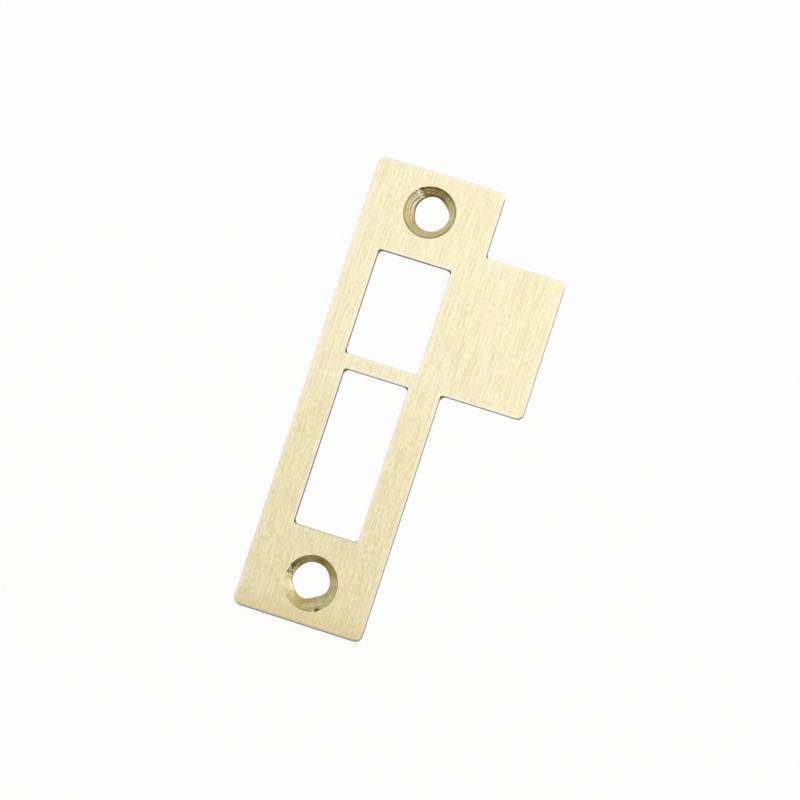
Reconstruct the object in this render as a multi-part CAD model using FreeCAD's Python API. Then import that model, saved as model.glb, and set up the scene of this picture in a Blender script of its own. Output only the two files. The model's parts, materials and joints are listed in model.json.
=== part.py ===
import FreeCAD, Part
import math
import os

# Door strike plate: one flat stamped plate that takes a latch and a deadbolt from a lock.
# Millimetres. The origin is midway between the two screw holes, on the back face.
# +Z points out of the front face, +Y runs up the plate and +X points towards the lip.

# The sheet
thickness = 1.5
plate_width = 25.4
plate_corner_radius = 1.5
front_edge_round = 0.15

# Distances along the middle line; each screw is as far from the opening next to it
top_to_screw = 8.0
bottom_to_screw = 8.5
screw_to_opening = 9.45
bolt_opening_height = 30.9
bridge_height = 2.9
latch_opening_height = 21.0

# The two openings
bolt_opening_width = 12.8
latch_opening_width = 14.6
opening_corner_radius = 0.7

# The flat lip that the latch slides over, reaching past both ends of the latch opening
lip_reach = 16.1
lip_above_latch_opening = 4.4
lip_below_latch_opening = 2.4
lip_corner_radius = 1.3
lip_root_radius = 1.0

# Screw holes, countersunk by eye with a drill point, so neither countersink is quite on its hole
screw_hole_diameter = 6.8
countersink_angle = 135.0
upper_countersink_diameter = 10.0
upper_countersink_shift_x = -0.2
upper_countersink_shift_y = 0.1
lower_countersink_diameter = 10.4
lower_countersink_shift_x = 0.4
lower_countersink_shift_y = -0.55

# How far a cutter runs past the sheet
cutter_overrun = 1.0

# Heights worked out from the distances above
screw_spacing = 2 * screw_to_opening + bolt_opening_height + bridge_height + latch_opening_height
upper_screw_y = screw_spacing / 2
lower_screw_y = -screw_spacing / 2
top_y = upper_screw_y + top_to_screw
bottom_y = lower_screw_y - bottom_to_screw
bolt_bottom_y = lower_screw_y + screw_to_opening
bolt_top_y = bolt_bottom_y + bolt_opening_height
latch_bottom_y = bolt_top_y + bridge_height
latch_top_y = latch_bottom_y + latch_opening_height


def corner_arc(before, corner, after, radius):
    """The arc that rounds one corner of an outline, tangent to both its sides."""
    to_before = (before - corner).normalize()
    to_after = (after - corner).normalize()
    half_angle = to_before.getAngle(to_after) / 2
    tangent_reach = radius / math.tan(half_angle)
    inward = (to_before + to_after).normalize()
    crown = corner + inward * (radius / math.sin(half_angle) - radius)
    return Part.Arc(corner + to_before * tangent_reach, crown, corner + to_after * tangent_reach)


def rounded_slab(corners, bottom, top):
    """A flat slab between two heights whose outline runs through corners (x, y, radius)."""
    points = [FreeCAD.Vector(x, y, bottom) for x, y, radius in corners]
    arcs = []
    for index, (x, y, radius) in enumerate(corners):
        following = points[(index + 1) % len(points)]
        arcs.append(corner_arc(points[index - 1], points[index], following, radius))
    edges = []
    for index, arc in enumerate(arcs):
        side = Part.LineSegment(arcs[index - 1].EndPoint, arc.StartPoint)
        edges += [side.toShape(), arc.toShape()]
    outline = Part.Face(Part.Wire(edges))
    return outline.extrude(FreeCAD.Vector(0, 0, top - bottom))


def plate_and_lip():
    """The sheet's outline: an upright plate with the lip standing out on its +X side."""
    edge_x = plate_width / 2
    lip_x = edge_x + lip_reach
    lip_top_y = latch_top_y + lip_above_latch_opening
    lip_bottom_y = latch_bottom_y - lip_below_latch_opening
    corners = [
        (-edge_x, bottom_y, plate_corner_radius),
        (edge_x, bottom_y, plate_corner_radius),
        (edge_x, lip_bottom_y, lip_root_radius),
        (lip_x, lip_bottom_y, lip_corner_radius),
        (lip_x, lip_top_y, lip_corner_radius),
        (edge_x, lip_top_y, lip_root_radius),
        (edge_x, top_y, plate_corner_radius),
        (-edge_x, top_y, plate_corner_radius),
    ]
    return rounded_slab(corners, 0, thickness)


def opening_cutter(width, low_y, high_y):
    """A rectangular punch with rounded corners, on the middle line and right through the sheet."""
    corners = [
        (-width / 2, low_y, opening_corner_radius),
        (width / 2, low_y, opening_corner_radius),
        (width / 2, high_y, opening_corner_radius),
        (-width / 2, high_y, opening_corner_radius),
    ]
    return rounded_slab(corners, -cutter_overrun, thickness + cutter_overrun)


def screw_hole_cutter(y, countersink_diameter, shift_x, shift_y):
    """A drilled hole on the middle line, and a conical countersink from the front, shifted off it."""
    hole = Part.makeCylinder(
        screw_hole_diameter / 2,
        thickness + 2 * cutter_overrun,
        FreeCAD.Vector(0, y, -cutter_overrun),
    )
    widening = math.tan(math.radians(countersink_angle / 2))
    cone_depth = countersink_diameter / 2 / widening
    cone = Part.makeCone(
        0,
        countersink_diameter / 2 + cutter_overrun * widening,
        cone_depth + cutter_overrun,
        FreeCAD.Vector(shift_x, y + shift_y, thickness - cone_depth),
    )
    return hole.fuse(cone)


def with_rolled_front(plate):
    """The plate with the edges of its front face rounded, as the punch leaves them."""
    front_edges = []
    for edge in plate.Edges:
        if edge.BoundBox.ZMin > thickness - front_edge_round / 2:
            front_edges.append(edge)
    return plate.makeFillet(front_edge_round, front_edges)


def strike_plate():
    """The whole plate: stamped and rolled first, then drilled and countersunk."""
    plate = plate_and_lip()
    plate = plate.cut(opening_cutter(latch_opening_width, latch_bottom_y, latch_top_y))
    plate = plate.cut(opening_cutter(bolt_opening_width, bolt_bottom_y, bolt_top_y))
    plate = with_rolled_front(plate)
    upper_hole = screw_hole_cutter(
        upper_screw_y,
        upper_countersink_diameter,
        upper_countersink_shift_x,
        upper_countersink_shift_y,
    )
    lower_hole = screw_hole_cutter(
        lower_screw_y,
        lower_countersink_diameter,
        lower_countersink_shift_x,
        lower_countersink_shift_y,
    )
    return plate.cut(upper_hole).cut(lower_hole)


os.makedirs("parts", exist_ok=True)
strike_plate().exportStep("parts/strike_plate.step")
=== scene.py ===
import json
import math

import bpy
from bpy.props import FloatProperty, FloatVectorProperty, PointerProperty
from mathutils import Matrix, Vector, noise
from mathutils.geometry import delaunay_2d_cdt
from mathutils.kdtree import KDTree


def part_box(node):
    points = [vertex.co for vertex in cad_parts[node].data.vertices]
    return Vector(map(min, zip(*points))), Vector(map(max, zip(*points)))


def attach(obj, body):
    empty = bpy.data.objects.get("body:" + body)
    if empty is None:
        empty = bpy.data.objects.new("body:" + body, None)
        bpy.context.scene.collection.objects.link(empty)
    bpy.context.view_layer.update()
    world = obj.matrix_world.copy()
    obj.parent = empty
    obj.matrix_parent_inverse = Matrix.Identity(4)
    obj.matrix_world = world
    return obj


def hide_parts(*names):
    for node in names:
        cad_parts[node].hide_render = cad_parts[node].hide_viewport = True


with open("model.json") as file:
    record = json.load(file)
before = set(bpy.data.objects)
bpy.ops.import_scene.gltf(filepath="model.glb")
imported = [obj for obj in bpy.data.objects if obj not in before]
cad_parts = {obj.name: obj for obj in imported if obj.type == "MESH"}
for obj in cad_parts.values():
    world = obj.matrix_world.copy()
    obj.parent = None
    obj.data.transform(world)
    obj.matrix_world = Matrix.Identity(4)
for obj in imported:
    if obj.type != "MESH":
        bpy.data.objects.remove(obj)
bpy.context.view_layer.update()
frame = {"record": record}

bl_info = {
    "name": "Door Strike Plate",
    "version": (1, 0, 0),
    "blender": (4, 5, 0),
    "location": "3D View > Sidebar > Strike Plate",
    "description": "Builds a brushed brass door strike plate and a plain studio around it",
    "category": "Object",
}

MM = 0.001
NODE = "strike_plate"
BODY = "root"
PIECE = "brushed_strike_plate"

# What the frame says of the plate: its box, its screw holes and its two openings
plate_low, plate_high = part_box(NODE)
mounts = {mount["name"]: mount for mount in frame["record"]["mounts"]}
screws = mounts["screw_holes"]["dims"]
openings = {opening["name"]: opening["box_m"] for opening in frame["record"]["physics"]["openings"]}

# A recorded opening's box stops this far short of the metal around it
OPENING_CLEARANCE = 0.25 * MM


def opening_edges(name):
    """Middle line to an opening's sides, and the heights of its bottom and its top."""
    low, high = openings[name]
    return high[0] + OPENING_CLEARANCE, low[1] - OPENING_CLEARANCE, high[1] + OPENING_CLEARANCE


latch_edge, latch_bottom, latch_top = opening_edges("latch_opening")
bolt_edge, bolt_bottom, bolt_top = opening_edges("bolt_opening")

# How finely the meshes follow their shapes
EDGE_SPACING = 0.4 * MM
SHEET_SPACING = 1.2 * MM
ARC_STEPS = 8
ROLL_STEPS = 6
BREAK_STEPS = 5
HOLE_STEPS = 288
CONE_STEPS = 40
LAND_STEPS = 4
FLOOR_STEPS = 96
SAME_POINT = 1e-9
SHARP_ANGLE = math.radians(18)

# Finishes, in the order of the piece's material slots
FACE, EDGE, CONE, BACK = range(4)

# Numbers of lobes that a hole's settings describe
LOBE_COUNTS = (2, 3, 4, 5)

# The mesh's own note of how near a point is to an edge: 0 on the flat face and at a countersink's rim,
# 1 at a stamped edge and at the bottom of a countersink
NEARNESS = "edge_nearness"

# The mesh's own note of the painted shade along a stamped edge: 0 where there is none, 1 where it is full
PAINTED_EDGE_SHADE = "painted_edge_shade"

# Heights over which painted shade darkens the face: below the bolt opening's top, and at the foot
LOWER_PART_FADE = 12 * MM
FOOT_FADE = 5 * MM

# Depths of the marks that only the finishes show
BRUSH_DEPTH = 0.012 * MM
TEAR_DEPTH = 0.03 * MM
RING_DEPTH = 0.012 * MM
SCUFF_DEPTH = 0.01 * MM


# Settings

def length(name, description, default):
    """A size in metres."""
    return FloatProperty(
        name=name, description=description, default=default, unit="LENGTH", subtype="DISTANCE", precision=5
    )


def lengths(name, description, default):
    """Several sizes in metres."""
    return FloatVectorProperty(
        name=name, description=description, default=default, size=len(default), unit="LENGTH", precision=5
    )


def angle(name, description, degrees):
    """An angle, given here in degrees."""
    return FloatProperty(
        name=name, description=description, default=math.radians(degrees), unit="ROTATION", subtype="ANGLE"
    )


def angles(name, description, degrees):
    """Several angles, given here in degrees."""
    default = [math.radians(turn) for turn in degrees]
    return FloatVectorProperty(
        name=name, description=description, default=default, size=len(default), unit="ROTATION"
    )


def share(name, description, default):
    """A part of a whole, from 0 to 1."""
    return FloatProperty(
        name=name, description=description, default=default, min=0, max=1, subtype="FACTOR"
    )


def colour(name, description, default):
    """A linear colour."""
    return FloatVectorProperty(
        name=name, description=description, default=default, min=0, max=1, size=3, subtype="COLOR"
    )


class PlateSizes(bpy.types.PropertyGroup):
    """Sizes of the stamped plate."""

    thickness: length("Thickness", "Of the sheet", plate_high.z - plate_low.z)
    plate_edge: length("Plate edge", "Middle line to the plate's long edges", -plate_low.x)
    lip_edge: length("Lip edge", "Middle line to the lip's free edge", plate_high.x)
    top: length("Top", "Height of the plate's top edge", plate_high.y)
    bottom: length("Bottom", "Height of the plate's bottom edge", plate_low.y)
    latch_edge: length("Latch edge", "Middle line to the latch opening's sides", latch_edge)
    latch_top: length("Latch top", "Height of the latch opening's top", latch_top)
    latch_bottom: length("Latch bottom", "Height of the latch opening's bottom", latch_bottom)
    bolt_edge: length("Bolt edge", "Middle line to the bolt opening's sides", bolt_edge)
    bolt_top: length("Bolt top", "Height of the bolt opening's top", bolt_top)
    bolt_bottom: length("Bolt bottom", "Height of the bolt opening's bottom", bolt_bottom)
    lip_above_latch: length("Lip above latch", "Lip past the top of the latch opening", 4.4 * MM)
    lip_below_latch: length("Lip below latch", "Lip past the bottom of the latch opening", 2.4 * MM)
    plate_corner: length("Plate corner", "Radius of the plate's own corners", 1.5 * MM)
    lip_corner: length("Lip corner", "Radius of the lip's free corners", 1.3 * MM)
    inner_corner: length(
        "Inner corner", "Radius of the openings' corners and the lip's roots, in front", 0.3 * MM
    )
    inner_corner_back: length("Inner corner, back", "The same radius at the back face", 1.1 * MM)
    edge_roll: length("Edge roll", "Radius that the punch rolls over the front edges", 0.1 * MM)
    burnish_depth: length("Burnish depth", "Front face to where the smooth sheared band ends", 0.6 * MM)
    break_lean: length(
        "Break lean", "Of the torn band, on edges that face down between the screws", 0.03 * MM
    )
    break_roughness: length("Break roughness", "Depth of the torn band's unevenness", 0.01 * MM)
    edge_break: length("Edge break", "Chamfer left on the back edges", 0.01 * MM)
    # The strip beside each front edge that carries the painted highlight and the painted edge shade
    edge_strip_width: length("Worn width", "Strip beside each front edge that is rubbed paler", 0.8 * MM)
    # Part of the side edges that carries the painted edge shade at the bottom
    foot_height: length("Foot height", "Part of the side edges that is soiled at the bottom", 4 * MM)
    flat_margin: length(
        "Flat margin", "Strip of the mesh that keeps the faces flat up to their edges", 0.05 * MM
    )
    hole_radius: length("Hole radius", "Of the screw holes as planned", screws["hole_r_mm"] * MM)
    screw_spacing: length("Screw spacing", "Between the screw holes", screws["spacing_y_mm"] * MM)
    cone_angle: angle("Cone angle", "Of both countersinks", 135)
    groove_pitch: length("Groove pitch", "Between the cutter's turning marks", 0.3 * MM)
    groove_depth: length("Groove depth", "Of the turning marks", 0.007 * MM)
    tool_mark_depth: length("Tool mark depth", "Of the step where the cutter was lifted", 0.04 * MM)
    nick_depth: length("Nick depth", "Of the nick in each countersink's rim", 0.12 * MM)


class UpperHole(bpy.types.PropertyGroup):
    """How the upper screw hole was drilled and countersunk."""

    oversize: length("Oversize", "Added to the hole's planned radius", -0.01 * MM)
    hole_shift: lengths("Hole shift", "Hole off its planned place, across and up", (0.17 * MM, 0.01 * MM))
    lobes: lengths(
        "Lobes", "How far 2, 3, 4 and 5 lobes stand out of the round hole",
        (0.09 * MM, 0.095 * MM, 0.03 * MM, 0.035 * MM),
    )
    lobe_turns: angles("Lobe turns", "Direction of the first of 2, 3, 4 and 5 lobes", (115, 115, 2, 13))
    countersink_radius: length("Countersink radius", "At the front face", 5.1 * MM)
    countersink_shift: lengths(
        "Countersink shift", "Off the hole's planned place, across and up", (-0.2 * MM, 0.09 * MM)
    )
    stretch: length("Stretch", "How far the rim is longer one way", 0)
    stretch_turn: angle("Stretch turn", "Direction in which the rim is longest", 0)
    mark_turn: angle("Mark turn", "Direction of the step where the cutter was lifted", 135)
    nick_turn: angle("Nick turn", "Direction of the nick in the rim", 126)
    clean_turn: angle("Clean turn", "How far past the step the cutter left clean metal", 80)
    soil_and_shade: share("Soil", "Dark patches of residue before the step", 0.2)
    lines: share("Lines", "Dark turning lines before the step, fainter past it", 0.6)
    smear: share("Smear", "Dark patches close before the step", 0)


class LowerHole(bpy.types.PropertyGroup):
    """How the lower screw hole was drilled and countersunk."""

    oversize: length("Oversize", "Added to the hole's planned radius", 0.13 * MM)
    hole_shift: lengths("Hole shift", "Hole off its planned place, across and up", (0.14 * MM, 0.06 * MM))
    lobes: lengths(
        "Lobes", "How far 2, 3, 4 and 5 lobes stand out of the round hole",
        (0.075 * MM, 0.065 * MM, 0.085 * MM, 0.065 * MM),
    )
    lobe_turns: angles("Lobe turns", "Direction of the first of 2, 3, 4 and 5 lobes", (33, 115, 81, 47))
    countersink_radius: length("Countersink radius", "At the front face", 5.23 * MM)
    countersink_shift: lengths(
        "Countersink shift", "Off the hole's planned place, across and up", (0.4 * MM, -0.54 * MM)
    )
    stretch: length("Stretch", "How far the rim is longer one way", 0.13 * MM)
    stretch_turn: angle("Stretch turn", "Direction in which the rim is longest", 108)
    mark_turn: angle("Mark turn", "Direction of the step where the cutter was lifted", 176)
    nick_turn: angle("Nick turn", "Direction of the nick in the rim", 300)
    clean_turn: angle("Clean turn", "How far past the step the cutter left clean metal", 52)
    soil_and_shade: share("Soil", "Dark patches of residue before the step", 0.2)
    lines: share("Lines", "Dark turning lines before the step, fainter past it", 0.15)
    smear: share("Smear", "Dark patches close before the step", 0.9)


class BrassColours(bpy.types.PropertyGroup):
    """Colours of the plate's finishes."""

    face_light: colour("Face, light", "Crests of the brushed lines", (0.99, 0.92, 0.65))
    face_dark: colour("Face, dark", "Grooves of the brushed lines", (0.85, 0.765, 0.495))
    face_warm: colour("Face, warm", "Warmer patches on the face", (0.94, 0.825, 0.58))
    # Painted highlight: metal painted paler along the front edges
    face_edge_highlight: colour("Face, worn", "Metal rubbed paler along the edges", (0.94, 0.90, 0.80))
    # Painted shade that darkens the lower half and the foot
    face_lower_shade: colour("Face, tarnish", "Duller metal of the lower half", (0.70, 0.56, 0.18))
    # Painted shade: a dark line along the foot and along the bolt opening's bottom edge
    face_edge_shade: colour("Face, soil", "Dirt along the foot and the bolt opening's bottom", (0.33, 0.31, 0.25))
    # Partly the cut metal's own darker tone and partly painted shade, dark enough to stand for the shadowed
    # floor that the walls would reflect
    burnish: colour("Burnish", "Smooth band of the sheared edge", (0.60, 0.51, 0.31))
    tear: colour("Tear", "Torn band of the sheared edge", (0.38, 0.31, 0.17))
    # Painted shade: a dark tint that darkens the edge seen along its face
    grazing: colour("Grazing edge", "Tint of the sheared edge seen along its face", (0.14, 0.12, 0.09))
    cone_light: colour("Cone, light", "Crests of the turning marks", (0.87, 0.77, 0.43))
    cone_dark: colour("Cone, dark", "Grooves of the turning marks", (0.48, 0.395, 0.16))
    # Residue, and also the colour of the painted shade along the countersinks' rims, lands and nicks
    cone_soil_and_shade: colour("Cone, soil", "Residue of the cutting in the countersinks", (0.17, 0.13, 0.04))
    # Bare metal, and also the colour of the painted highlight at the step and the painted reflection before
    # it
    cone_bare_and_lit: colour("Cone, bare", "Bright bare metal in the countersinks", (0.93, 0.90, 0.75))
    back_light: colour("Back, light", "Mill finish of the back", (0.80, 0.69, 0.42))
    back_dark: colour("Back, dark", "Scuffs and stains on the back", (0.58, 0.48, 0.27))


class StudioSettings(bpy.types.PropertyGroup):
    """The floor, the cards, the lamp and the camera."""

    camera_place: lengths("Camera place", "Where the camera stands", (0.07447, -0.07536, 0.62472))
    camera_aim: lengths("Camera aim", "Point at the picture's middle", (0.00561, 0.00082, 0.0015))
    camera_roll: angle("Camera roll", "Turn of the camera about its line of sight", 18.17)
    camera_lens: FloatProperty(
        name="Camera lens", description="Focal length in millimetres", default=150, unit="CAMERA"
    )
    floor_radius: length("Floor radius", "Of the round floor", 3.0)
    floor_gap: length("Floor gap", "Between the plate's back and the floor", 0.02 * MM)
    floor_white: colour("Floor white", "Of the floor and the surroundings", (1.0, 1.0, 1.0))
    floor_glow: share("Floor glow", "Part of the floor that shows as white, without the shadow", 0.93)
    card_grey: colour("Card grey", "Of the cards to the left and at the top", (0.82, 0.82, 0.82))
    card_dark: colour("Card dark", "Of the low card beside the lip", (0.15, 0.15, 0.15))
    card_warm: colour("Card warm", "Of the near card", (0.35, 0.29, 0.12))
    lamp_place: lengths("Lamp place", "Where the soft lamp hangs", (0.25, 0.3, 0.6))
    lamp_size: length("Lamp size", "Side of the square soft lamp", 0.5)
    lamp_power: FloatProperty(
        name="Lamp power", description="Of the soft lamp overhead, in watts", default=0.4, min=0, unit="POWER"
    )


# The plate's outlines, each a list of points with the directions that point away from the metal there

def corner_arc(before, corner, after, radius):
    """The rounded corner of an outline, from one tangent point to the other."""
    to_before = (before - corner).normalized()
    to_after = (after - corner).normalized()
    half_angle = to_before.angle(to_after) / 2
    centre = corner + (to_before + to_after).normalized() * (radius / math.sin(half_angle))
    reach = radius / math.tan(half_angle)
    start_arm = (corner + to_before * reach - centre).normalized()
    end_arm = (corner + to_after * reach - centre).normalized()
    outward = 1 if to_after.cross(to_before) > 0 else -1
    arc = []
    for step in range(ARC_STEPS + 1):
        arm = start_arm.slerp(end_arm, step / ARC_STEPS)
        arc.append((centre + arm * radius, arm * outward))
    return arc


def straight_run(start, end, count):
    """Evenly spaced points between two arcs, without their own end points."""
    first, away = start
    last = end[0]
    return [(first.lerp(last, step / count), away) for step in range(1, count)]


def rounded_outline(corners):
    """A closed outline through corners (x, y, radius), with the metal on its left."""
    places = [Vector((x, y)) for x, y, radius in corners]
    arcs = []
    for index, (x, y, radius) in enumerate(corners):
        following = places[(index + 1) % len(places)]
        arcs.append(corner_arc(places[index - 1], places[index], following, radius))
    outline = []
    for index, arc in enumerate(arcs):
        side = (places[index] - places[index - 1]).length
        outline += straight_run(arcs[index - 1][-1], arc[0], round(side / EDGE_SPACING))
        outline += arc
    return outline


def inner_radius(sizes, depth):
    """Radius of the inner corners at a part of the way from the front face to the back."""
    return sizes.inner_corner + (sizes.inner_corner_back - sizes.inner_corner) * depth


def plate_outline(sizes, depth):
    """The plate with the lip standing out on its +X side, anticlockwise."""
    root = inner_radius(sizes, depth)
    lip_top = sizes.latch_top + sizes.lip_above_latch
    lip_bottom = sizes.latch_bottom - sizes.lip_below_latch
    return rounded_outline([
        (-sizes.plate_edge, sizes.bottom, sizes.plate_corner),
        (sizes.plate_edge, sizes.bottom, sizes.plate_corner),
        (sizes.plate_edge, lip_bottom, root),
        (sizes.lip_edge, lip_bottom, sizes.lip_corner),
        (sizes.lip_edge, lip_top, sizes.lip_corner),
        (sizes.plate_edge, lip_top, root),
        (sizes.plate_edge, sizes.top, sizes.plate_corner),
        (-sizes.plate_edge, sizes.top, sizes.plate_corner),
    ])


def opening_outline(edge, low, high, radius):
    """An opening on the middle line, clockwise, because the metal is around it."""
    return rounded_outline([
        (-edge, low, radius),
        (-edge, high, radius),
        (edge, high, radius),
        (edge, low, radius),
    ])


def latch_outline(sizes, depth):
    """The latch opening."""
    return opening_outline(
        sizes.latch_edge, sizes.latch_bottom, sizes.latch_top, inner_radius(sizes, depth)
    )


def bolt_outline(sizes, depth):
    """The deadbolt opening."""
    return opening_outline(
        sizes.bolt_edge, sizes.bolt_bottom, sizes.bolt_top, inner_radius(sizes, depth)
    )


def round_outline(centre, radius_at):
    """A drilled outline about a centre, clockwise, whose radius changes with the direction."""
    outline = []
    for step in range(HOLE_STEPS):
        turn = -2 * math.pi * step / HOLE_STEPS
        arm = Vector((math.cos(turn), math.sin(turn)))
        outline.append((centre + arm * radius_at(turn), -arm))
    return outline


# The mesh

class PlateMesh:
    """Points, faces and their finishes, gathered before they become one Blender mesh."""

    def __init__(self):
        self.points = []
        self.nearness = []
        self.soil_and_shade = []
        self.faces = []
        self.finishes = []

    def ring(self, points, nearness=0, soil_and_shade=None):
        """Adds a ring or a grid of points, their nearness and the painted edge shade on each. Returns their
        numbers.
        """
        first = len(self.points)
        self.points += points
        self.nearness += [nearness] * len(points)
        self.soil_and_shade += soil_and_shade or [0] * len(points)
        return range(first, len(self.points))

    def face(self, corners, finish):
        """Adds one face and its finish."""
        self.faces.append(corners)
        self.finishes.append(finish)

    def band(self, upper, lower, finish):
        """A strip of quads between two closed rings, facing away from the metal."""
        for step in range(len(upper)):
            following = (step + 1) % len(upper)
            self.face((upper[step], lower[step], lower[following], upper[following]), finish)

    def bands(self, rings, finish):
        """Strips of quads down a stack of closed rings."""
        for upper, lower in zip(rings, rings[1:]):
            self.band(upper, lower, finish)

    def inner_points(self, borders):
        """A grid of points on a sheet that keep clear of its borders."""
        aways = []
        tree = KDTree(sum(len(numbers) for outline, numbers in borders))
        for outline, numbers in borders:
            for (point, away), number in zip(outline, numbers):
                tree.insert(self.points[number], len(aways))
                aways.append(away)
        tree.balance()
        height = self.points[borders[0][1][0]].z
        columns = int((plate_high.x - plate_low.x) / SHEET_SPACING)
        rows = int((plate_high.y - plate_low.y) / SHEET_SPACING)
        grid = []
        for row in range(rows):
            for column in range(columns):
                x = plate_low.x + (column + 0.5 + 0.5 * (row % 2)) * SHEET_SPACING
                y = plate_low.y + (row + 0.5) * SHEET_SPACING
                point = Vector((x, y, height))
                nearest, index, distance = tree.find(point)
                within = (point - nearest).to_2d().dot(aways[index]) < 0
                if within and distance > SHEET_SPACING / 2:
                    grid.append(point)
        return grid

    def sheet(self, borders, finish, facing_front):
        """Fills the flat sheet inside its first border and around the openings of the others."""
        numbers = []
        edges = []
        openings_of = []
        for opening, (outline, ring) in enumerate(borders):
            first = len(numbers)
            numbers += ring
            edges += [(first + step, first + (step + 1) % len(ring)) for step in range(len(ring))]
            openings_of += [opening] * len(ring)
        grid = self.ring(self.inner_points(borders))
        numbers += grid
        openings_of += [0] * len(grid)
        flat = [self.points[number].to_2d() for number in numbers]
        inside_only = 1
        filled = delaunay_2d_cdt(flat, edges, [], inside_only, SAME_POINT)
        triangles, sources = filled[2], filled[3]
        for triangle in triangles:
            inputs = [sources[corner][0] for corner in triangle]
            around = {openings_of[corner] for corner in inputs}
            if len(around) == 1 and min(around) > 0:
                continue
            corners = [numbers[corner] for corner in inputs]
            self.face(corners if facing_front else corners[::-1], finish)

    def piece(self, name, finishes):
        """The finished object, smooth except at its real edges."""
        mesh = bpy.data.meshes.new(name)
        mesh.from_pydata(self.points, [], self.faces)
        for finish in finishes:
            mesh.materials.append(finish)
        mesh.polygons.foreach_set("material_index", self.finishes)
        for note, values in ((NEARNESS, self.nearness), (PAINTED_EDGE_SHADE, self.soil_and_shade)):
            attribute = mesh.attributes.new(note, "FLOAT", "POINT")
            attribute.data.foreach_set("value", values)
        mesh.shade_smooth()
        mesh.set_sharp_from_angle(angle=SHARP_ANGLE)
        mesh.validate()
        made = bpy.data.objects.new(name, mesh)
        bpy.context.scene.collection.objects.link(made)
        return made


def edge_levels(sizes):
    """(inset, part of the lean, height, unevenness, finish below) down a stamped edge, front to back."""
    levels = [
        (sizes.edge_roll + sizes.edge_strip_width, 0, sizes.thickness, 0, FACE),
        (sizes.edge_roll + sizes.flat_margin, 0, sizes.thickness, 0, FACE),
    ]
    for step in range(ROLL_STEPS + 1):
        turn = math.pi / 2 * step / ROLL_STEPS
        inset = sizes.edge_roll * (1 - math.sin(turn))
        height = sizes.thickness - sizes.edge_roll * (1 - math.cos(turn))
        levels.append((inset, 0, height, 0, FACE if step < ROLL_STEPS else EDGE))
    torn_height = sizes.thickness - sizes.burnish_depth
    levels.append((0, 0, torn_height, 0, EDGE))
    for step in range(1, BREAK_STEPS + 1):
        part = step / BREAK_STEPS
        height = torn_height + (sizes.edge_break - torn_height) * part
        levels.append((0, part, height, sizes.break_roughness, EDGE))
    levels.append((sizes.edge_break, 1, 0, 0, BACK))
    levels.append((sizes.edge_break + sizes.flat_margin, 1, 0, 0, BACK))
    return levels


def edge_shade_at(sizes, point, away):
    """How much painted shade a stamped edge carries: most along the plate's foot, less at the bolt opening's
    bottom.
    """
    side_shade = 0.5
    bolt_shade = 0.85
    foot = 2 - 2 * (point.y - sizes.bottom) / sizes.foot_height
    facing_down = max(side_shade, -away.y)
    at_bolt_bottom = abs(point.y - sizes.bolt_bottom) < sizes.inner_corner_back
    return max(min(1, foot) * facing_down, bolt_shade * at_bolt_bottom * away.y, 0)


def stamped_edge(mesh, outline_at, sizes):
    """The whole edge along an outline. Returns its borders on the front and on the back face."""
    levels = edge_levels(sizes)
    tear_size = 0.35 * MM
    rings = []
    for inset, lean_part, height, unevenness, finish in levels:
        nearness = 1 - max(0, inset - sizes.edge_roll) / sizes.edge_strip_width
        points = []
        soil_and_shade = []
        for point, away in outline_at(sizes, 1 - height / sizes.thickness):
            between_screws = abs(point.y) < sizes.screw_spacing / 2
            lean = sizes.break_lean * lean_part * max(0, -away.y) * between_screws
            uneven = unevenness * (1 + noise.noise(Vector((point.x, point.y, height)) / tear_size))
            points.append((point - away * (inset + lean + uneven)).to_3d() + Vector((0, 0, height)))
            soil_and_shade.append(nearness * edge_shade_at(sizes, point, away))
        rings.append(mesh.ring(points, nearness, soil_and_shade))
    for upper, lower, level in zip(rings, rings[1:], levels):
        mesh.band(upper, lower, level[-1])
    return (outline_at(sizes, 0), rings[0]), (outline_at(sizes, 1), rings[-1])


def past(turn, mark):
    """How far a direction is past another one, from minus to plus half a turn."""
    return math.remainder(turn - mark, 2 * math.pi)


def land_radius(hole, sizes, turn):
    """Radius of a drilled hole, which the drill left a little out of round."""
    radius = sizes.hole_radius + hole.oversize
    for count, lobe, first in zip(LOBE_COUNTS, hole.lobes, hole.lobe_turns):
        radius += lobe * math.cos(count * (turn - first))
    return radius


def rim_radius(hole, sizes, turn):
    """Radius of a countersink at the front face, longer one way and nicked in one place."""
    stretched = hole.stretch * math.cos(2 * (turn - hole.stretch_turn))
    nick_width = math.radians(3)
    nick = math.exp(-(past(turn, hole.nick_turn) / nick_width) ** 2)
    return hole.countersink_radius + stretched + sizes.nick_depth * nick


def turning_marks(hole, sizes, distance, turn):
    """Height of the cutter's marks on a countersink, at a distance from its axis and a direction."""
    phase = distance / sizes.groove_pitch + turn / (2 * math.pi)
    slow_phase = 0.43 * phase + 0.2
    grooves = 0.6 * math.sin(2 * math.pi * phase) + 0.4 * math.sin(2 * math.pi * slow_phase)
    swell = noise.noise(Vector((2 * math.cos(turn), 2 * math.sin(turn), distance / MM)))
    step_width = math.radians(2.5)
    dig_reach = math.radians(30)
    off = past(turn, hole.mark_turn)
    step = math.tanh(off / step_width) * math.exp(-abs(off) / dig_reach)
    return sizes.groove_depth * grooves * (0.6 + swell) + sizes.tool_mark_depth * step


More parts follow.
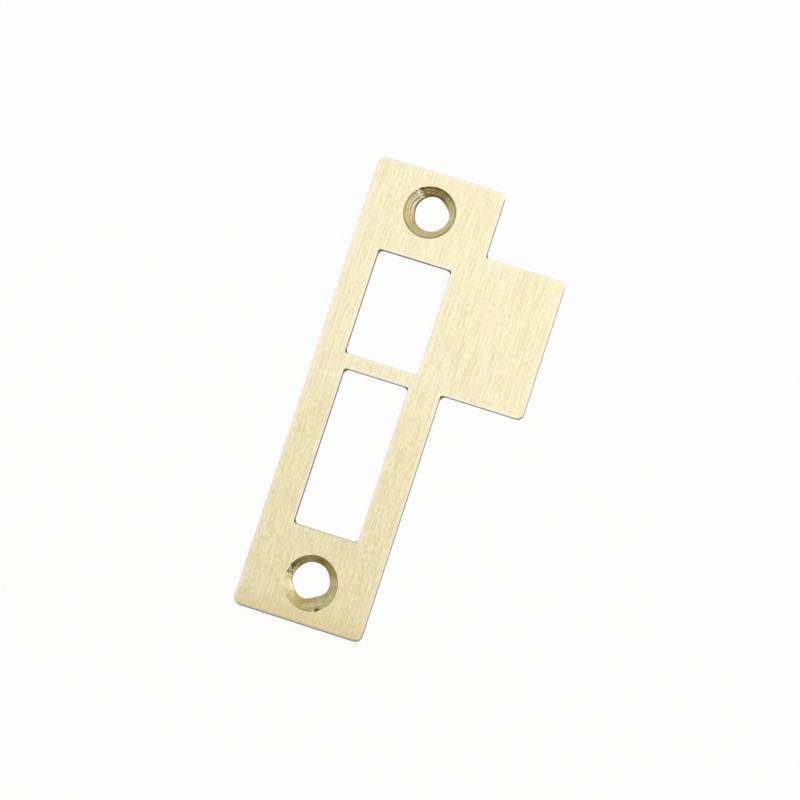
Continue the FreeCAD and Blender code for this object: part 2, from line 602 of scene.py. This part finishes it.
def countersink(mesh, hole, sizes, axis, rim, land):
    """The turned cone from the rim in the front face down to the land. Returns its rings."""
    widening = math.tan(sizes.cone_angle / 2)
    fade_rate = 6
    rings = []
    for step in range(CONE_STEPS + 1):
        part = step / CONE_STEPS
        fade = min(1, fade_rate * part, fade_rate * (1 - part))
        points = []
        for number, ((outer, _), (inner, _)) in enumerate(zip(rim, land)):
            turn = -2 * math.pi * number / HOLE_STEPS
            depth = ((outer - axis).length - (inner - axis).length) / widening
            point = outer.lerp(inner, part)
            marks = turning_marks(hole, sizes, (point - axis).length, turn)
            points.append(point.to_3d() + Vector((0, 0, sizes.thickness - depth * part + fade * marks)))
        rings.append(mesh.ring(points, part))
    mesh.bands(rings, CONE)
    return rings


def land_wall(mesh, top, sizes, land):
    """The straight wall of a drilled hole below its countersink. Returns its border on the back face."""
    walls = [top]
    for step in range(1, LAND_STEPS + 1):
        part = step / LAND_STEPS
        points = []
        for number in top:
            x, y, z = mesh.points[number]
            points.append(Vector((x, y, z + (sizes.edge_break - z) * part)))
        walls.append(mesh.ring(points))
    mesh.bands(walls, EDGE)
    broken = mesh.ring([(point - away * sizes.edge_break).to_3d() for point, away in land])
    reach = sizes.edge_break + sizes.flat_margin
    border = mesh.ring([(point - away * reach).to_3d() for point, away in land])
    mesh.bands([walls[-1], broken, border], BACK)
    return border


def drilled_hole(mesh, hole, sizes, height_up):
    """A screw hole and its countersink. Returns its borders on the front and on the back face."""
    planned = Vector((0, height_up))
    axis = planned + Vector(hole.countersink_shift)
    rim = round_outline(axis, lambda turn: rim_radius(hole, sizes, turn))
    land = round_outline(planned + Vector(hole.hole_shift), lambda turn: land_radius(hole, sizes, turn))
    rings = countersink(mesh, hole, sizes, axis, rim, land)
    border = land_wall(mesh, rings[-1], sizes, land)
    return (rim, rings[0]), (land, border)


# Finishes

class Wire:
    """An output of a node. Arithmetic on wires adds Math nodes, and wire["Name"] is another output."""

    def __init__(self, board, node, output=0):
        self.board = board
        self.node = node
        self.socket = node.outputs[output] if node.outputs else None

    def __getitem__(self, output):
        return Wire(self.board, self.node, output)

    def math(self, operation, *values):
        return self.board.node("ShaderNodeMath", {"operation": operation}, dict(enumerate(values)))

    def __add__(self, other):
        return self.math("ADD", self, other)

    def __radd__(self, other):
        return self.math("ADD", other, self)

    def __sub__(self, other):
        return self.math("SUBTRACT", self, other)

    def __rsub__(self, other):
        return self.math("SUBTRACT", other, self)

    def __mul__(self, other):
        return self.math("MULTIPLY", self, other)

    def __rmul__(self, other):
        return self.math("MULTIPLY", other, self)

    def __truediv__(self, other):
        return self.math("DIVIDE", self, other)

    def __rtruediv__(self, other):
        return self.math("DIVIDE", other, self)

    def __pow__(self, other):
        return self.math("POWER", self, other)

    def __rpow__(self, other):
        return self.math("POWER", other, self)

    def __abs__(self):
        return self.math("ABSOLUTE", self)

    def __gt__(self, other):
        return self.math("GREATER_THAN", self, other)

    def __lt__(self, other):
        return self.math("LESS_THAN", self, other)


class Board:
    """A node tree, with one way to add any node to it."""

    def __init__(self, tree):
        self.tree = tree
        self.tree.nodes.clear()

    def node(self, kind, settings=None, sockets=None):
        """Adds a node, with its settings set first and then the values or links of its sockets."""
        made = self.tree.nodes.new(kind)
        for name, value in (settings or {}).items():
            setattr(made, name, value)
        for name, value in (sockets or {}).items():
            if isinstance(value, Wire):
                self.tree.links.new(value.socket, made.inputs[name])
            else:
                made.inputs[name].default_value = value
        return Wire(self, made)

    def place(self):
        """Where a point is on the object."""
        return self.node("ShaderNodeTexCoord")["Object"]

    def note(self, name):
        """A note that the mesh keeps on its points."""
        return self.node("ShaderNodeAttribute", {"attribute_name": name})["Fac"]

    def mix(self, first, second, part):
        """A colour between two colours."""
        mixed = self.node("ShaderNodeMix", {"data_type": "RGBA"}, {0: part, 6: first, 7: second})
        return mixed[2]

    def ramp(self, value, low, high):
        """0 below low, 1 above high and smooth between them."""
        settings = {"interpolation_type": "SMOOTHSTEP"}
        return self.node("ShaderNodeMapRange", settings, {"Value": value, "From Min": low, "From Max": high})

    def past(self, across, along, mark):
        """How far the direction of a point is past a mark, from minus to plus half a turn."""
        turn = self.node("ShaderNodeMath", {"operation": "ARCTAN2"}, {0: along, 1: across})
        return self.node("ShaderNodeMath", {"operation": "WRAP"}, {0: turn - mark, 1: math.pi, 2: -math.pi})

    def streaks(self, where, lean, width, run, offset):
        """Noise drawn out into streaks along the plate, about 0.5, leaning by some degrees."""
        moved = self.node(
            "ShaderNodeMapping",
            {"vector_type": "TEXTURE"},
            {
                "Vector": where,
                "Location": (offset, offset, 0),
                "Rotation": (0, 0, math.radians(lean)),
                "Scale": (width, run, 1),
            },
        )
        sockets = {"Vector": moved, "Scale": 1, "Detail": 2, "Roughness": 0.6}
        return self.node("ShaderNodeTexNoise", {}, sockets)

    def grain(self, where, size):
        """Even noise about 0.5, with features of a size."""
        return self.node("ShaderNodeTexNoise", {}, {"Vector": where, "Scale": 1 / size, "Detail": 3})

    def rings(self, distance, width, offset):
        """Noise about 0.5 that changes only with the distance from an axis."""
        return self.node(
            "ShaderNodeTexNoise",
            {"noise_dimensions": "1D"},
            {"W": distance / width + offset, "Scale": 1, "Detail": 2},
        )

    def bump(self, height, depth):
        """A normal bent by a height from 0 to 1 that stands for a depth in metres."""
        return self.node("ShaderNodeBump", {}, {"Height": height, "Distance": depth, "Strength": 1})


def new_finish(name):
    """A new material and the board of its nodes."""
    finish = bpy.data.materials.new(name)
    finish.use_nodes = True
    return finish, Board(finish.node_tree)


def opaque(tone):
    """A colour setting with the alpha that colour sockets want."""
    return (*tone, 1)


def brass(board, base, roughness, normal, grazing=(1, 1, 1)):
    """The metal shader itself, joined to the material's output."""
    metal = board.node(
        "ShaderNodeBsdfPrincipled",
        {},
        {
            "Base Color": base,
            "Metallic": 1,
            "Roughness": roughness,
            "Specular Tint": opaque(grazing),
            "Normal": normal,
        },
    )
    board.node("ShaderNodeOutputMaterial", {}, {"Surface": metal})


def brushed_face(colours, sizes):
    """Satin brass brushed along the plate: leaning lines, bands and drifts of tone, with painted shade on the
    lower half, the foot and some edges, and a painted highlight along the front edges.
    """
    finish, board = new_finish("brushed_brass")
    where = board.place()
    height = board.node("ShaderNodeSeparateXYZ", {}, {"Vector": where})["Y"]
    near = board.note(NEARNESS)
    soil_and_shade = board.note(PAINTED_EDGE_SHADE)
    lower_part = board.ramp(height, sizes.bolt_top, sizes.bolt_top - LOWER_PART_FADE)
    foot = board.ramp(height, sizes.bottom + FOOT_FADE, sizes.bottom)

    hair = board.streaks(where, lean=1.0, width=0.24 * MM, run=6 * MM, offset=1)
    lines = board.streaks(where, lean=-2.0, width=0.36 * MM, run=9 * MM, offset=2)
    crossing = board.streaks(where, lean=5.0, width=0.34 * MM, run=0.9 * MM, offset=3)
    short = board.streaks(where, lean=3.0, width=0.25 * MM, run=1.8 * MM, offset=7)
    bands = board.streaks(where, lean=0.5, width=1.8 * MM, run=40 * MM, offset=4)
    drift = board.grain(where, 9 * MM)
    blush = board.grain(where, 3 * MM)

    brushed = (hair + lines + crossing) / 3 + (short - lines) * lower_part * 0.25
    middle_tone = 0.52
    line_contrast = 7.1 + lower_part * 3.5
    band_contrast = 0.6
    drift_contrast = 0.7
    tone = (
        middle_tone
        + (brushed - 0.5) * line_contrast
        + (bands - 0.5) * band_contrast
        + (drift - 0.5) * drift_contrast
    )
    metal = board.mix(opaque(colours.face_dark), opaque(colours.face_light), tone)
    blushing = board.ramp(blush, 0.45, 0.75) * (0.5 + lower_part * 0.3)
    drifting = board.mix(metal, opaque(colours.face_warm), blushing)
    # Painted shade on the lower half, and more at the foot
    lower_shade = lower_part * 0.135 + foot * 0.3
    lower_shaded = board.mix(drifting, opaque(colours.face_lower_shade), lower_shade)
    # Painted highlight along the front edges, left out where the painted edge shade lies
    edge_highlight = board.ramp(near, 0, 1) * 0.6 * (1 - soil_and_shade)
    edge_lit = board.mix(lower_shaded, opaque(colours.face_edge_highlight), edge_highlight)
    # Painted shade along the foot and the bolt opening's bottom edge
    edge_shading = board.ramp(soil_and_shade, 0.3, 1.1) * 0.5 + board.ramp(soil_and_shade, 0.93, 1.0) * 0.25
    base = board.mix(edge_lit, opaque(colours.face_edge_shade), edge_shading)

    roughness = 0.36 + (0.5 - brushed) * 0.5 + (drift - 0.5) * 0.12
    brass(board, base, roughness, board.bump(brushed, BRUSH_DEPTH))
    return finish


def sheared_edge(colours, sizes):
    """The cut edge: a smooth band under the front face and a darker torn band below it, both partly painted
    shade, and darker still seen along its face.
    """
    finish, board = new_finish("sheared_brass_edge")
    where = board.place()
    height = board.node("ShaderNodeSeparateXYZ", {}, {"Vector": where})["Z"]
    score_width = 0.09 * MM
    score_run = 1.4 * MM
    drawn = board.node(
        "ShaderNodeMapping",
        {"vector_type": "TEXTURE"},
        {"Vector": where, "Scale": (score_width, score_width, score_run)},
    )
    scores = board.node("ShaderNodeTexNoise", {}, {"Vector": drawn, "Scale": 1, "Detail": 2})
    pits = board.grain(where, 0.16 * MM)

    torn_height = sizes.thickness - sizes.burnish_depth
    raggedness = 0.5 * MM
    blur = 0.08 * MM
    ragged = height + (pits - 0.5) * raggedness
    smooth = board.ramp(ragged, torn_height - blur, torn_height + blur)
    band = board.mix(opaque(colours.tear), opaque(colours.burnish), smooth)
    # Streaks of the darker torn colour in the band, part of the edge's painted shade
    soiled_and_shaded = board.mix(opaque(colours.tear), band, 0.45 + scores)

    texture = smooth * scores + (1 - smooth) * pits
    roughness = 0.27 - 0.07 * smooth + (0.5 - scores) * 0.15
    brass(board, soiled_and_shaded, roughness, board.bump(texture, TEAR_DEPTH), colours.grazing)
    return finish


class ConeMarks:
    """What the cutter left in both countersinks, and the painted light and shade on them, as wires that the
    parts of their finish share.
    """

    def __init__(self, board, sizes, upper, lower):
        self.board = board
        self.upper = upper
        self.lower = lower
        where = board.place()
        parts = board.node("ShaderNodeSeparateXYZ", {}, {"Vector": where})
        self.above = parts["Y"] > 0
        upper_x, upper_y = upper.countersink_shift
        lower_x, lower_y = lower.countersink_shift
        reach = sizes.screw_spacing / 2
        across = parts["X"] - self.either(lower_x, upper_x)
        along = parts["Y"] - self.either(lower_y - reach, upper_y + reach)
        self.distance = (across * across + along * along) ** 0.5
        self.part_down = board.note(NEARNESS)

        self.wander = board.grain(where, 1.3 * MM)
        self.torn = board.grain(where, 0.3 * MM)
        self.patchy = board.grain(where, 2.2 * MM)
        self.mottle = board.ramp(board.grain(where, 0.9 * MM), 0.36, 0.64)
        self.fine = self.rings(waver=0.2 * MM, width=0.21 * MM, offset=0)
        self.broad = self.rings(waver=0.3 * MM, width=0.32 * MM, offset=7.3 * self.above)
        self.lined = board.ramp(self.rings(waver=0.5 * MM, width=0.3 * MM, offset=3.1), 0.44, 0.56)

        self.nick = board.past(across, along, self.setting("nick_turn"))
        past_mark = board.past(across, along, self.setting("mark_turn"))
        self.after = past_mark + 0.05 + (self.torn - 0.5) * 0.5
        before_step = self.after < 0
        clean_end = self.setting("clean_turn")
        self.clean = self.turned(0.1, 0.5) * self.turned(clean_end, clean_end - 0.4)
        self.before = self.turned(-2.1, -1.2) * before_step
        self.smear = self.turned(-0.9, -0.3) * before_step * self.setting("smear")
        self.chatter = self.turned(0, 0.1) * self.turned(1.2, 0.5) * self.above

    def either(self, at_lower, at_upper):
        """One value in the lower countersink and another in the upper one."""
        return at_lower + self.above * (at_upper - at_lower)

    def setting(self, name):
        """A setting of the hole that a point belongs to."""
        return self.either(getattr(self.lower, name), getattr(self.upper, name))

    def rings(self, waver, width, offset):
        """Noise in rings about the cutter's axis, which waver by some distance."""
        return self.board.rings(self.distance + (self.wander - 0.5) * waver, width, offset)

    def turned(self, start, end):
        """0 at one angle past the cutter's step and 1 at another, in radians."""
        return self.board.ramp(self.after, start, end)

    def down(self, start, end):
        """0 at one part of the way from the rim down to the land and 1 at another."""
        return self.board.ramp(self.part_down, start, end)

    def around(self, angle_off, outside, inside):
        """1 close to where an angle is 0, and 0 further away on both sides, in radians."""
        return self.board.ramp(abs(angle_off), outside, inside)

    def metal(self, colours):
        """Turned brass: its rings, a sweep of painted shade past the step and one of painted light before it.
        """
        ringed = (0.1 + 1.4 * self.patchy) * self.either(0.3, 1) * (1 - self.clean * self.either(0.8, 0.3))
        rings = ((self.fine - 0.5) * 3.0 + (self.broad - 0.5) * 2.6) * ringed
        # Painted shade in a sweep past the step; the lit sweep is painted light before the step in the lower
        # countersink
        shaded_sweep = self.turned(0.6, 1.0) * self.turned(2.3, 1.6) * 0.45
        lit = self.around(self.after + 2.4, 0.7, 0.2) * self.either(0.45, 0)
        tone = 0.5 + rings + (self.wander - 0.5) * self.either(1.6, 0.9) + lit - shaded_sweep
        return self.board.mix(opaque(colours.cone_dark), opaque(colours.cone_light), tone)

    def soil_and_shade(self):
        """Residue: patches before the step, and dark turning lines before it and past it."""
        patches = (self.before * self.setting("soil_and_shade") + self.smear) * self.mottle
        scored = (self.before + self.clean * 0.5) * self.setting("lines") + self.chatter * 0.6
        return patches + scored * self.lined

    def bare_and_lit(self):
        """Bright metal and painted highlights: bare metal with a painted highlight at the step, bright metal
        on the clean part past it, by the lower nick and between dark marks, and a painted reflection before
        the step in the lower countersink.
        """
        below = 1 - self.above
        flecks = self.board.ramp(self.torn, 0.35, 0.55)
        # Bare metal with a painted highlight at the cutter's step
        step = (self.after > 0) * (self.after < 0.1) * flecks * self.either(0.6, 1)
        pale = self.clean * (self.either(0.25, 0) + self.down(0.45, 0.8) * self.either(0.5, 0.25))
        streak = self.down(0.2, 0.35) * self.down(0.7, 0.55) * below
        broken = self.board.ramp(self.torn, 0.3, 0.7)
        by_nick = self.around(self.nick + 0.26, 0.36, 0.1) * streak * broken * 0.6
        # Painted reflection before the step in the lower countersink, and pale specks in the smear
        glint = self.around(self.after + 1.1, 0.45, 0.1) * below * 0.6 + self.smear * (1 - self.mottle) * 0.5
        return step + by_nick + pale + glint + self.chatter * (1 - self.lined) * 0.4

    def shaded_edges(self):
        """Painted shade along the rim, around the land and in the nick."""
        rim = self.board.ramp(self.part_down + (self.torn - 0.5) * 0.16, 0.11, 0.02) * (1 - self.clean)
        land = self.down(0.88, 0.96) * self.around(self.after - 0.2, 1.9, 1.4) * self.either(0.3, 1)
        dent = self.around(self.nick, 0.11, 0.05) * self.down(0.28, 0.14)
        return rim * self.either(0.55, 0.75) + land * 0.85 + dent


def turned_cone(colours, sizes, upper, lower):
    """The countersinks: rings left by the cutter, soil that ends where it was lifted, painted highlights,
    sweeps of painted light and shade, and painted shade along the rims, lands and nicks.
    """
    finish, board = new_finish("turned_brass_countersink")
    marks = ConeMarks(board, sizes, upper, lower)
    soiled_and_shaded = board.mix(marks.metal(colours), opaque(colours.cone_soil_and_shade), marks.soil_and_shade())
    brightened = board.mix(soiled_and_shaded, opaque(colours.cone_bare_and_lit), marks.bare_and_lit())
    edge_shaded = board.mix(brightened, opaque(colours.cone_soil_and_shade), marks.shaded_edges())
    roughness = 0.36 + (0.5 - marks.fine) * 0.3
    brass(board, edge_shaded, roughness, board.bump(marks.fine, RING_DEPTH))
    return finish


def mill_back(colours):
    """The unbrushed back: rolling lines, slanting scuffs and faint stains."""
    finish, board = new_finish("mill_brass_back")
    where = board.place()
    rolled = board.streaks(where, lean=0.0, width=0.35 * MM, run=18 * MM, offset=5)
    scuffs = board.streaks(where, lean=62.0, width=0.12 * MM, run=5 * MM, offset=6)
    stains = board.grain(where, 7 * MM)
    tone = 0.6 + (rolled - 0.5) * 1.4 + (scuffs - 0.5) * 1.2 + (stains - 0.5) * 1.1
    base = board.mix(opaque(colours.back_dark), opaque(colours.back_light), tone)
    roughness = 0.42 + (stains - 0.5) * 0.25 + (0.5 - scuffs) * 0.2
    brass(board, base, roughness, board.bump((rolled + scuffs) / 2, SCUFF_DEPTH))
    return finish


# The plain studio

def flat_card(name, middle, sides, finish, rotation):
    """A flat rectangle that stands beside the plate and never shows to the camera itself."""
    mesh = bpy.data.meshes.new(name)
    x, y = sides[0] / 2, sides[1] / 2
    mesh.from_pydata([(-x, -y, 0), (x, -y, 0), (x, y, 0), (-x, y, 0)], [], [(0, 1, 2, 3)])
    mesh.materials.append(finish)
    card = bpy.data.objects.new(name, mesh)
    card.location = middle
    card.rotation_euler = rotation
    card.visible_camera = False
    bpy.context.scene.collection.objects.link(card)


def card_finish(name, tone):
    """Matt card of one colour."""
    finish, board = new_finish(name)
    matt = board.node("ShaderNodeBsdfDiffuse", {}, {"Color": opaque(tone)})
    board.node("ShaderNodeOutputMaterial", {}, {"Surface": matt})
    return finish


def floor_finish(studio):
    """White floor that keeps part of the plate's shadow and otherwise shows as plain white."""
    finish, board = new_finish("white_floor")
    light = board.node("ShaderNodeLightPath")
    seen = light["Is Camera Ray"] + light["Is Glossy Ray"] + light["Is Transmission Ray"]
    matt = board.node("ShaderNodeBsdfDiffuse", {}, {"Color": opaque(studio.floor_white)})
    white = board.node("ShaderNodeEmission", {}, {"Color": opaque(studio.floor_white), "Strength": 1})
    shown = board.node("ShaderNodeMixShader", {}, {0: seen * studio.floor_glow, 1: matt, 2: white})
    board.node("ShaderNodeOutputMaterial", {}, {"Surface": shown})
    return finish


def lay_floor(studio):
    """A wide round floor just under the plate's back."""
    rim = []
    for step in range(FLOOR_STEPS):
        turn = 2 * math.pi * step / FLOOR_STEPS
        rim.append((studio.floor_radius * math.cos(turn), studio.floor_radius * math.sin(turn), 0))
    mesh = bpy.data.meshes.new("floor")
    mesh.from_pydata(rim, [], [tuple(range(FLOOR_STEPS))])
    mesh.materials.append(floor_finish(studio))
    floor = bpy.data.objects.new("floor", mesh)
    floor.location.z = -studio.floor_gap
    bpy.context.scene.collection.objects.link(floor)


def stand_cards(studio):
    """Grey cards at the left and the top, a brown one on the near side and a low dark one beside the lip."""
    grey = card_finish("grey_card", studio.card_grey)
    dark = card_finish("dark_card", studio.card_dark)
    brown = card_finish("brown_card", studio.card_warm)
    upright = math.pi / 2
    across_x = (0, upright, 0)
    across_y = (upright, 0, 0)
    flat_card("left_card", (-0.5, 0, 0.42), (0.84, 1.2), grey, across_x)
    flat_card("top_card", (0, 0.5, 0.36), (1.2, 0.72), grey, across_y)
    flat_card("near_card", (-0.02, -0.08, 0.15), (0.3, 0.28), brown, across_y)
    flat_card("lip_card", (0.2, 0.05, 0.045), (0.08, 0.5), dark, across_x)


def light_studio(studio):
    """White surroundings, and one large soft lamp overhead towards the top of the plate."""
    world = bpy.data.worlds.new("white_surroundings")
    world.use_nodes = True
    board = Board(world.node_tree)
    white = board.node("ShaderNodeBackground", {}, {"Color": opaque(studio.floor_white), "Strength": 1})
    board.node("ShaderNodeOutputWorld", {}, {"Surface": white})
    bpy.context.scene.world = world
    lamp = bpy.data.lights.new("soft_lamp", "AREA")
    lamp.size = studio.lamp_size
    lamp.energy = studio.lamp_power
    hung = bpy.data.objects.new("soft_lamp", lamp)
    hung.location = studio.lamp_place
    hung.rotation_euler = (-hung.location).to_track_quat("-Z", "Y").to_euler()
    bpy.context.scene.collection.objects.link(hung)


def aim_camera(studio):
    """The camera, almost straight above the plate and turned about its line of sight."""
    camera = bpy.data.objects.new("camera", bpy.data.cameras.new("camera"))
    back = (Vector(studio.camera_place) - Vector(studio.camera_aim)).normalized()
    right = Vector((0, 1, 0)).cross(back).normalized()
    level = Matrix((right, back.cross(right), back)).transposed().to_4x4()
    turned = level @ Matrix.Rotation(studio.camera_roll, 4, "Z")
    camera.matrix_world = Matrix.Translation(studio.camera_place) @ turned
    camera.data.lens = studio.camera_lens
    camera.data.clip_start = 0.01
    bpy.context.scene.collection.objects.link(camera)
    bpy.context.scene.camera = camera


# Operators, panel and registration

class STRIKEPLATE_OT_make_plate(bpy.types.Operator):
    """Build the brushed plate in place of the plain one"""

    bl_idname = "strikeplate.make_plate"
    bl_label = "Make Strike Plate"

    def execute(self, context):
        sizes = context.scene.strike_plate_sizes
        colours = context.scene.strike_plate_colours
        upper = context.scene.strike_plate_upper_hole
        lower = context.scene.strike_plate_lower_hole
        outlines = (plate_outline, latch_outline, bolt_outline)
        mesh = PlateMesh()
        borders = [stamped_edge(mesh, outline_at, sizes) for outline_at in outlines]
        borders.append(drilled_hole(mesh, upper, sizes, sizes.screw_spacing / 2))
        borders.append(drilled_hole(mesh, lower, sizes, -sizes.screw_spacing / 2))
        mesh.sheet([front for front, back in borders], FACE, True)
        mesh.sheet([back for front, back in borders], BACK, False)
        finishes = [
            brushed_face(colours, sizes),
            sheared_edge(colours, sizes),
            turned_cone(colours, sizes, upper, lower),
            mill_back(colours),
        ]
        plate = mesh.piece(PIECE, finishes)
        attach(plate, BODY)
        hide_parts(NODE)
        return {"FINISHED"}


class STRIKEPLATE_OT_set_stage(bpy.types.Operator):
    """Lay the floor, stand the cards, hang the lamp and aim the camera"""

    bl_idname = "strikeplate.set_stage"
    bl_label = "Set Stage"

    def execute(self, context):
        studio = context.scene.strike_plate_studio
        context.scene.view_settings.view_transform = "Standard"
        lay_floor(studio)
        stand_cards(studio)
        light_studio(studio)
        aim_camera(studio)
        return {"FINISHED"}


class STRIKEPLATE_PT_panel(bpy.types.Panel):
    """Lists the plate's settings and its operators"""

    bl_idname = "STRIKEPLATE_PT_panel"
    bl_label = "Strike Plate"
    bl_space_type = "VIEW_3D"
    bl_region_type = "UI"
    bl_category = "Strike Plate"

    def draw(self, context):
        for name, group in SETTINGS.items():
            box = self.layout.box()
            settings = getattr(context.scene, name)
            for setting in group.__annotations__:
                box.prop(settings, setting)
        self.layout.operator(STRIKEPLATE_OT_make_plate.bl_idname)
        self.layout.operator(STRIKEPLATE_OT_set_stage.bl_idname)


SETTINGS = {
    "strike_plate_sizes": PlateSizes,
    "strike_plate_upper_hole": UpperHole,
    "strike_plate_lower_hole": LowerHole,
    "strike_plate_colours": BrassColours,
    "strike_plate_studio": StudioSettings,
}
CLASSES = (STRIKEPLATE_OT_make_plate, STRIKEPLATE_OT_set_stage, STRIKEPLATE_PT_panel)


def register():
    for name, group in SETTINGS.items():
        bpy.utils.register_class(group)
        setattr(bpy.types.Scene, name, PointerProperty(type=group))
    for made in CLASSES:
        bpy.utils.register_class(made)


def unregister():
    for made in reversed(CLASSES):
        bpy.utils.unregister_class(made)
    for name, group in reversed(SETTINGS.items()):
        delattr(bpy.types.Scene, name)
        bpy.utils.unregister_class(group)


def main():
    register()
    bpy.ops.strikeplate.make_plate()
    bpy.ops.strikeplate.set_stage()


if __name__ == "__main__":
    main()
